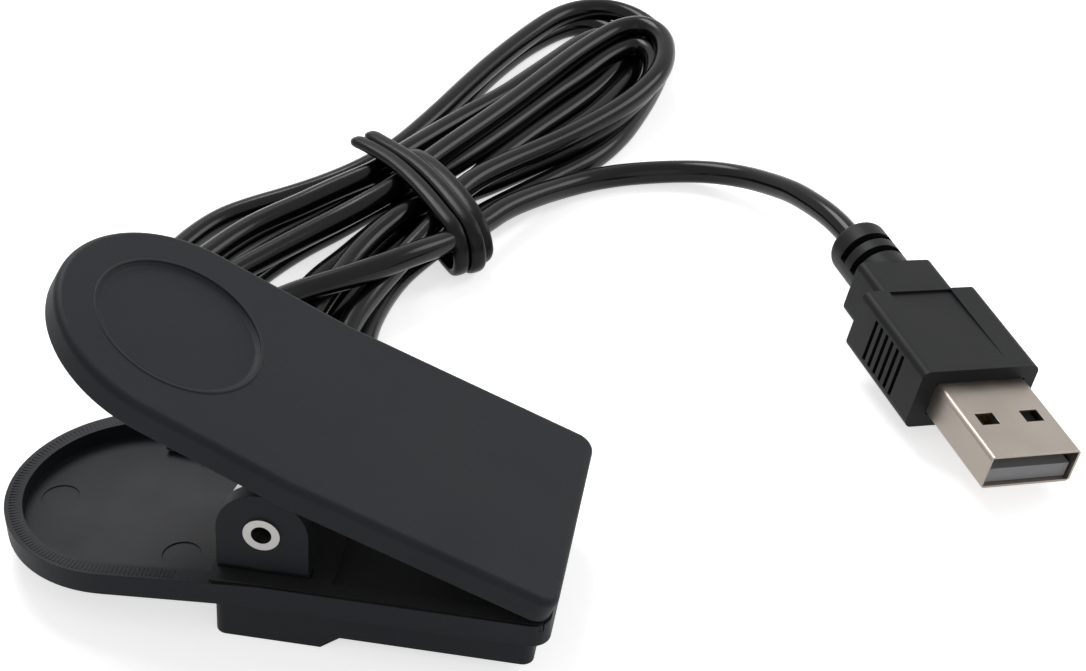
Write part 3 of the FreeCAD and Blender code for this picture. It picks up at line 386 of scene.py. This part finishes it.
softSet = {
    "upper_jaw": {"width": 0.25, "body": "upper_lever", "slot": "clip_shell", "finish": clipPlastic},
    "lower_jaw": {"width": 0.16, "body": "base", "slot": "clip_shell", "finish": clipPlastic},
    "contact_housing": {"width": 0.2, "body": "base", "slot": "clip_shell", "finish": clipPlastic},
    "jaw_liner": {"width": 0.1, "body": "base", "slot": "liner_rubber", "finish": linerRubber},
    "plug_grip": {"width": 0.42, "body": "base", "slot": "plug_moulding", "finish": plugPlastic},
    "usb_shell": {"width": 0.09, "body": "base", "slot": "shell_steel", "finish": shellNickel},
}
edgeSet = {"merge": 0.002, "flat": 1.0, "sharp": 33.0, "segments": 3}


def bakedCopy(piece, name):
    shape = bpy.context.evaluated_depsgraph_get()
    mesh = bpy.data.meshes.new_from_object(piece.evaluated_get(shape))
    mesh.name = name
    bpy.data.objects.remove(piece)
    return addObject(name, mesh)


def softShell(name, s, e):
    mesh = nodes[name].data.copy()
    shape = bmesh.new()
    shape.from_mesh(mesh)
    bmesh.ops.remove_doubles(shape, verts=shape.verts, dist=e["merge"] * mil)
    bmesh.ops.dissolve_limit(shape, angle_limit=math.radians(e["flat"]), verts=shape.verts,
                             edges=shape.edges)
    shape.to_mesh(mesh)
    shape.free()
    for face in mesh.polygons:
        face.use_smooth = True
    piece = addObject(name + "Blank", mesh)
    edge = piece.modifiers.new("edge", "BEVEL")
    edge.width = s["width"] * mil
    edge.segments = e["segments"]
    edge.limit_method = "ANGLE"
    edge.angle_limit = math.radians(e["sharp"])
    edge.use_clamp_overlap = True
    lay = piece.modifiers.new("lay", "WEIGHTED_NORMAL")
    lay.keep_sharp = True
    piece = bakedCopy(piece, name + "Shell")
    piece.data.materials.clear()
    piece.data.materials.append(s["finish"])
    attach(piece, s["body"])
    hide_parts(name)
    return piece


shells = {name: softShell(name, one, edgeSet) for name, one in softSet.items()}
print("stage: moulded shells")


# strips and wires swept along a line

def sweep(name, path, section, across=None):
    verts, faces = [], []
    count = len(section(0.0))
    side = None
    for k, spot in enumerate(path):
        ahead = (path[min(k + 1, len(path) - 1)] - path[max(k - 1, 0)]).normalized()
        if across is not None:
            side = Vector(across)
        elif side is None:
            side = Vector((0.1, 1, 0.2))
        side = (side - ahead * side.dot(ahead)).normalized()
        up = ahead.cross(side)
        for u, v in section(k / (len(path) - 1)):
            verts.append(spot + side * u + up * v)
    for k in range(len(path) - 1):
        for j in range(count):
            a, b = k * count + j, k * count + (j + 1) % count
            faces.append((a, b, b + count, a + count))
    faces.append(tuple(range(count - 1, -1, -1)))
    faces.append(tuple((len(path) - 1) * count + j for j in range(count)))
    mesh = bpy.data.meshes.new(name)
    mesh.from_pydata(verts, [], faces)
    shape = bmesh.new()
    shape.from_mesh(mesh)
    bmesh.ops.recalc_face_normals(shape, faces=shape.faces)
    shape.to_mesh(mesh)
    shape.free()
    for face in mesh.polygons:
        face.use_smooth = len(face.vertices) == 4
    return mesh


def curvedPath(spots, steps):
    path = []
    spots = [Vector(v) for v in spots]
    ends = [spots[0] * 2 - spots[1]] + spots + [spots[-1] * 2 - spots[-2]]
    for k in range(1, len(ends) - 2):
        a, b, c, d = ends[k - 1:k + 3]
        for j in range(steps):
            t = j / steps
            path.append(0.5 * ((2 * b) + (c - a) * t + (2 * a - 5 * b + 4 * c - d) * t * t
                               + (3 * b - a - 3 * c + d) * t ** 3))
    path.append(spots[-1])
    return [v * mil for v in path]


def joined(name, meshes, finish):
    shape = bmesh.new()
    for mesh in meshes:
        shape.from_mesh(mesh)
    whole = bpy.data.meshes.new(name)
    shape.to_mesh(whole)
    shape.free()
    for mesh in meshes:
        bpy.data.meshes.remove(mesh)
    piece = addObject(name, whole)
    whole.materials.append(finish)
    return piece


# tie: two soft coated strips wrapped round the bundle, their free ends up and back

tieSet = {
    "centre": (1.2, 66.0), "turn": -52.0,
    "width": 1.05, "thick": 0.62, "square": 2.8, "ends": 0.8,
    # along the strip, sideways, height
    "front": [(-12.6, -3.7, 7.4), (-9.6, -2.9, 7.7), (-5.6, -2.0, 7.85), (-1, -1.6, 7.9), (3.4, -1.5, 7.8),
              (7.4, -1.5, 7.5), (10.6, -1.4, 6.9), (12.3, -1.3, 5.1), (12.6, -1.2, 2.8), (11.5, -1.0, 1.1),
              (9.4, -0.8, 0.62), (4, -0.6, 0.62), (-3, -0.6, 0.62), (-8.4, -0.6, 0.75),
              (-10.7, -0.5, 2.0), (-10.9, -0.4, 4.2), (-9.4, -0.2, 6.0), (-6.6, 0.6, 6.9)],
    "back": [(-13.1, -1.4, 7.4), (-9.8, -0.8, 7.7), (-5.4, 0.1, 7.95), (-1, 0.6, 8.0), (3.4, 0.7, 7.9),
             (7.6, 0.7, 7.5), (10.7, 0.8, 6.7), (12.5, 0.8, 5.0), (12.9, 0.9, 2.6), (11.6, 1.0, 0.95),
             (9.4, 1.2, 0.62), (4, 1.4, 0.62), (-3, 1.4, 0.62), (-8, 1.4, 0.8), (-10.3, 1.6, 2.2),
             (-10.2, 1.8, 4.4), (-8.2, 2.2, 6.3), (-4.6, 2.6, 7.1), (0, 2.8, 7.3), (4.6, 2.8, 7.1),
             (8.4, 2.7, 6.4), (10.6, 2.6, 5.1), (11.8, 2.5, 3.2), (11.2, 2.4, 1.5)],
}


def tieSpot(s, along, sideways, high):
    angle = math.radians(s["turn"])
    x = s["centre"][0] + along * math.cos(angle) - sideways * math.sin(angle)
    y = s["centre"][1] + along * math.sin(angle) + sideways * math.cos(angle)
    return x, y, high


def makeTie(s):
    angle = math.radians(s["turn"])
    across = (-math.sin(angle), math.cos(angle), 0)

    def section(t):
        near = min(t, 1 - t) * 60
        full = 1 - (1 - min(near, 1)) ** 2 * (1 - s["ends"])
        spots = []
        for k in range(16):
            turn = 2 * math.pi * k / 16
            c, d = math.cos(turn), math.sin(turn)
            u = math.copysign(abs(c) ** (2 / s["square"]), c) * s["width"] * full
            v = math.copysign(abs(d) ** (2 / s["square"]), d) * s["thick"] * full
            spots.append((u * mil, v * mil))
        return spots

    strips = []
    for name in ("front", "back"):
        path = curvedPath([tieSpot(s, *spot) for spot in s[name]], 8)
        strips.append(sweep("tie" + name, path, section, across))
    return joined("cordTie", strips, tiePlastic)


tie = makeTie(tieSet)
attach(tie, "base")
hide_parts("twist_tie")
print("stage: tie")


# torsion spring: two coils on the pin, bridged under the upper lever

springSet = {
    "wire": 0.55, "coil": 3.7, "pin": (0, 0, 13.4), "inner": 7.2, "outer": 9.2,
    "climb": 39.0, "bridge": 14.0, "fall": 14.3, "leg": 17.4, "stub": 4.5, "turns": 2, "corner": 1.6,
    "follow": 32.0,  # how far the coils run on under the arms, for the lever's travel
}


def coilPath(s, side, leg):
    centre = Vector(s["pin"])
    fall = math.radians(s["fall"])
    down = Vector((-math.cos(fall), 0, -math.sin(fall)))
    stop = math.radians(180 - s["climb"] + 360 * s["turns"])
    foot = centre + Vector((math.sin(fall) * s["coil"], side * s["outer"], -math.cos(fall) * s["coil"]))
    spots = [foot + down * leg * (1 - k / 8) for k in range(8)]
    steps = 28 * s["turns"] + 10
    extra = math.radians(s["follow"])
    for k in range(steps + 4):
        t = k / steps
        turn = min(fall + (stop - fall) * t, stop + extra)
        wide = s["outer"] + (s["inner"] - s["outer"]) * min(t, 1)
        spots.append(centre + Vector((math.sin(turn) * s["coil"], side * wide,
                                      -math.cos(turn) * s["coil"])))
    return [v * mil for v in spots]


def bridgePath(s):
    centre = Vector(s["pin"])
    climb = math.radians(s["climb"])
    up = Vector((-math.cos(climb), 0, math.sin(climb)))
    reach = s["bridge"] - s["corner"]
    sides = []
    for side in (1, -1):
        top = centre + Vector((math.sin(climb) * s["coil"], side * s["inner"],
                               math.cos(climb) * s["coil"]))
        spots = [top + up * reach * k / 6 for k in range(7)]
        bend = top + up * reach - Vector((0, side * s["corner"], 0))
        for k in range(1, 7):
            turn = math.pi / 2 * k / 6
            spots.append(bend + Vector((0, side * s["corner"] * math.cos(turn), 0))
                         + up * s["corner"] * math.sin(turn))
        sides.append(spots)
    return [v * mil for v in sides[0] + sides[1][::-1]]


def roundWire(s):
    def section(t):
        full = 1 if 0.001 < t < 0.999 else 0.8
        return [(math.cos(2 * math.pi * k / 12) * s["wire"] * full * mil,
                 math.sin(2 * math.pi * k / 12) * s["wire"] * full * mil) for k in range(12)]
    return section


wire = roundWire(springSet)
farCoil = sweep("farCoil", coilPath(springSet, 1, springSet["leg"]), wire)
nearCoil = sweep("nearCoil", coilPath(springSet, -1, springSet["stub"]), wire)
coils = joined("springCoils", [farCoil, nearCoil], springSteel)
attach(coils, "base")
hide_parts("torsion_spring")
bridge = joined("springBridge", [sweep("bridgeWire", bridgePath(springSet), wire)], springSteel)
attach(bridge, "upper_lever")
print("stage: spring")


# fine ribs on the lower handle's rim, placed along it by geometry nodes

ribSet = {
    "pitch": 0.45, "length": 1.1, "width": 0.17, "height": 0.1,
    "straight": (-9.0, -16.6), "half": 12.75, "top": 8.0, "fall": 4.5, "sink": 0.01,
}


def ribLine(s):
    flat = []
    begin, bend = s["straight"]
    for k in range(9):
        flat.append((begin + (bend - begin) * k / 8, -s["half"]))
    for k in range(1, 48):
        turn = math.pi * k / 48
        flat.append((bend - s["half"] * math.sin(turn), -s["half"] * math.cos(turn)))
    for k in range(9):
        flat.append((bend + (begin - bend) * k / 8, s["half"]))
    slope = math.radians(s["fall"])
    return [mm(x * math.cos(slope), y, s["top"] + x * math.sin(slope) - s["sink"]) for x, y in flat]


def ribTree(finish):
    tree = bpy.data.node_groups.new("ribsAlongRim", "GeometryNodeTree")
    face = tree.interface
    face.new_socket("Geometry", in_out="INPUT", socket_type="NodeSocketGeometry")
    sizes = {}
    for label in ("Pitch", "Rib Length", "Rib Width", "Rib Height"):
        sizes[label] = face.new_socket(label, in_out="INPUT", socket_type="NodeSocketFloat").identifier
    face.new_socket("Geometry", in_out="OUTPUT", socket_type="NodeSocketGeometry")
    begin, end = tree.nodes.new("NodeGroupInput"), tree.nodes.new("NodeGroupOutput")
    spread = tree.nodes.new("GeometryNodeResampleCurve")
    spread.mode = "LENGTH"
    tree.links.new(begin.outputs["Geometry"], spread.inputs["Curve"])
    tree.links.new(begin.outputs["Pitch"], spread.inputs["Length"])
    size = tree.nodes.new("ShaderNodeCombineXYZ")
    tree.links.new(begin.outputs["Rib Width"], size.inputs["X"])
    tree.links.new(begin.outputs["Rib Length"], size.inputs["Y"])
    tree.links.new(begin.outputs["Rib Height"], size.inputs["Z"])
    rib = tree.nodes.new("GeometryNodeMeshCube")
    for side, cuts in (("Vertices X", 3), ("Vertices Y", 2), ("Vertices Z", 2)):
        rib.inputs[side].default_value = cuts
    tree.links.new(size.outputs[0], rib.inputs["Size"])
    tangent = tree.nodes.new("GeometryNodeInputTangent")
    turn = tree.nodes.new("FunctionNodeAlignRotationToVector")
    turn.axis = "X"
    turn.pivot_axis = "Z"
    tree.links.new(tangent.outputs[0], turn.inputs["Vector"])
    place = tree.nodes.new("GeometryNodeInstanceOnPoints")
    tree.links.new(spread.outputs["Curve"], place.inputs["Points"])
    tree.links.new(rib.outputs["Mesh"], place.inputs["Instance"])
    tree.links.new(turn.outputs["Rotation"], place.inputs["Rotation"])
    real = tree.nodes.new("GeometryNodeRealizeInstances")
    tree.links.new(place.outputs["Instances"], real.inputs["Geometry"])
    paint = tree.nodes.new("GeometryNodeSetMaterial")
    paint.inputs["Material"].default_value = finish
    tree.links.new(real.outputs["Geometry"], paint.inputs["Geometry"])
    tree.links.new(paint.outputs["Geometry"], end.inputs["Geometry"])
    return tree, sizes


def makeRibs(s):
    line = bpy.data.curves.new("rimLine", "CURVE")
    line.dimensions = "3D"
    spline = line.splines.new("POLY")
    spots = ribLine(s)
    spline.points.add(len(spots) - 1)
    for point, spot in zip(spline.points, spots):
        point.co = (*spot, 1)
    guide = addObject("rimGuide", line)
    tree, sizes = ribTree(clipPlastic)
    ribs = guide.modifiers.new("ribs", "NODES")
    ribs.node_group = tree
    for label, key in (("Pitch", "pitch"), ("Rib Length", "length"), ("Rib Width", "width"),
                       ("Rib Height", "height")):
        ribs[sizes[label]] = s[key] * mil
    shape = bpy.context.evaluated_depsgraph_get()
    mesh = bpy.data.meshes.new_from_object(guide.evaluated_get(shape))
    guide.modifiers.remove(ribs)
    bpy.data.objects.remove(guide)
    mesh.name = "rimRibs"
    return addObject("rimRibs", mesh)


ribs = makeRibs(ribSet)
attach(ribs, "base")
print("stage: rim ribs, %d faces" % len(ribs.data.polygons))

# thin raised line round the thumb dish

dishSet = {
    "bend": (3.28, 0, 21.62), "along": 16.0, "slope": 26.25, "radius": 8.95, "wide": 0.2, "high": 0.13,
    "around": 160,
}


def makeDishLine(s):
    slope = math.radians(s["slope"])
    back = Vector((-math.cos(slope), 0, math.sin(slope)))
    up = Vector((math.sin(slope), 0, math.cos(slope)))
    middle = Vector(s["bend"]) + back * s["along"]
    verts, faces, rim = [], [], 10
    for k in range(s["around"]):
        turn = 2 * math.pi * k / s["around"]
        out = back * math.cos(turn) + Vector((0, math.sin(turn), 0))
        for j in range(rim):
            lift = 2 * math.pi * j / rim
            verts.append((middle + out * (s["radius"] + math.cos(lift) * s["wide"])
                          + up * math.sin(lift) * s["high"]) * mil)
    for k in range(s["around"]):
        for j in range(rim):
            a, b = k * rim + j, k * rim + (j + 1) % rim
            c, d = ((k + 1) % s["around"]) * rim + j, ((k + 1) % s["around"]) * rim + (j + 1) % rim
            faces.append((a, b, d, c))
    mesh = bpy.data.meshes.new("dishLine")
    mesh.from_pydata(verts, [], faces)
    shape = bmesh.new()
    shape.from_mesh(mesh)
    bmesh.ops.recalc_face_normals(shape, faces=shape.faces)
    shape.to_mesh(mesh)
    shape.free()
    for face in mesh.polygons:
        face.use_smooth = True
    mesh.materials.append(clipPlastic)
    return addObject("dishLine", mesh)


dishLine = makeDishLine(dishSet)
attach(dishLine, "upper_lever")
print("stage: thumb dish line")

# finishes on the CAD pieces

finishes = {
    "grip_pad": linerRubber, "circuit_board": boardGreen,
    "power_chip": chipBlack, "capacitor_1": capacitorTan, "capacitor_2": capacitorTan,
    "hinge_pin": pinSteel, "gland": cable, "usb_tongue": tonguePlastic,
}
for k in range(1, 5):
    finishes["cover_screw_%d" % k] = screwSteel
    finishes["contact_barrel_%d" % k] = barrelBrass
    finishes["contact_plunger_%d" % k] = contactGold
    finishes["usb_contact_%d" % k] = contactGold
for name, colour in wireColours.items():
    finishes[name] = mouldedPlastic(name + "Insulation", colour, 0.45, 1500.0, 0.00002)
for name, finish in finishes.items():
    for slot in nodes[name].material_slots:
        slot.material = finish

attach(cableLine, "base")
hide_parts("cord_lead", "cord_hank", "cord_tail")
